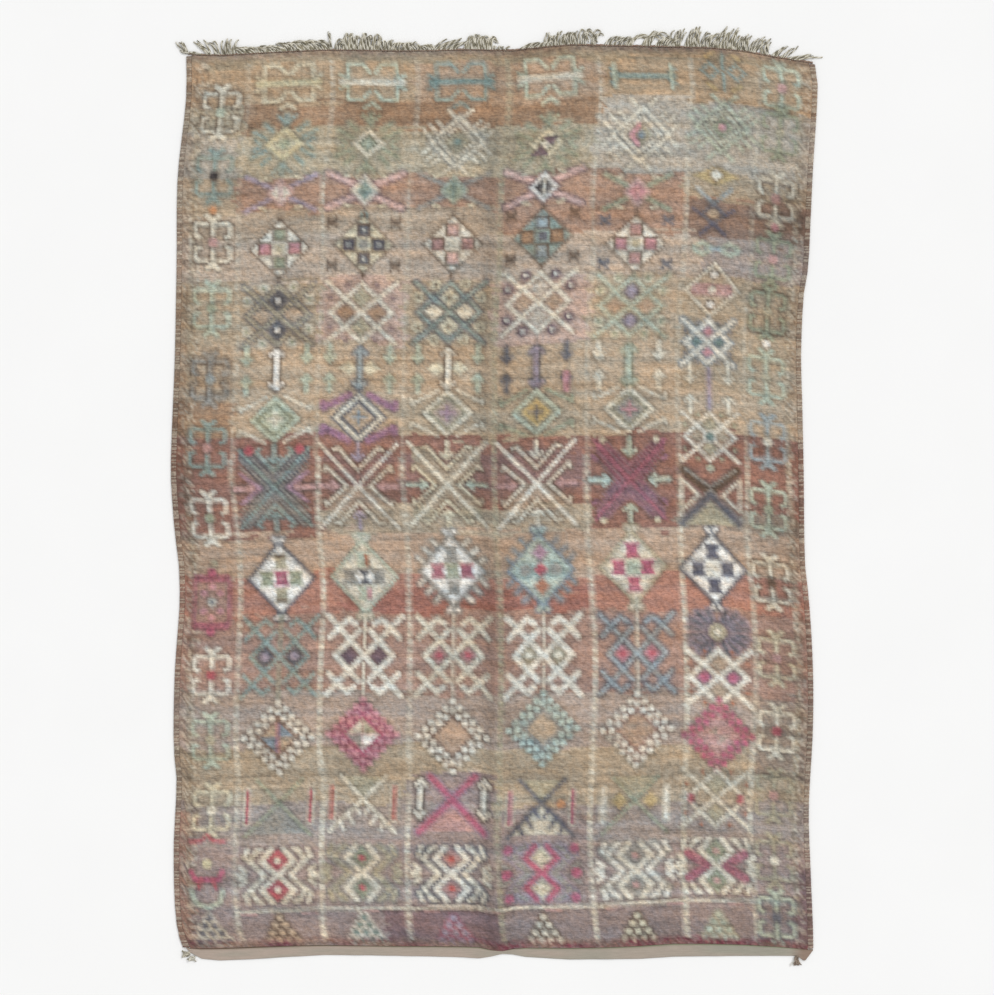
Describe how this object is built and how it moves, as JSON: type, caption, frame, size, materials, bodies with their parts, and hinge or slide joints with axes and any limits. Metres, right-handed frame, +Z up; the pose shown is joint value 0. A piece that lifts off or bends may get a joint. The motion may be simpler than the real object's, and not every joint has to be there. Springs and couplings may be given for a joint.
{
  "type": "boujaad rug",
  "caption": "Hand-knotted wool rug lying flat, with a worn geometric pile, a flat woven band at one end and a plied warp fringe at the other.",
  "frame": {"origin": "on the floor, under the middle of the outline of rug and fringe", "axes": "+Z up from the floor through the pile, +Y along the rug towards the fringe, +X across it"},
  "size_m": [1.7456, 2.5432, 0.0145],
  "materials": {
    "wool_pile": "worn low wool pile, faded",
    "warp_yarn": "plied undyed wool yarn",
    "grey_yarn": "dusty grey wool yarn",
    "undyed_yarn": "undyed wool yarn"
  },
  "bodies": {
    "root": {"rug": "wool_pile", "fringe": "warp_yarn", "corner_knot_left": "grey_yarn", "corner_tuft_right": "undyed_yarn"}
  },
  "joints": []
}
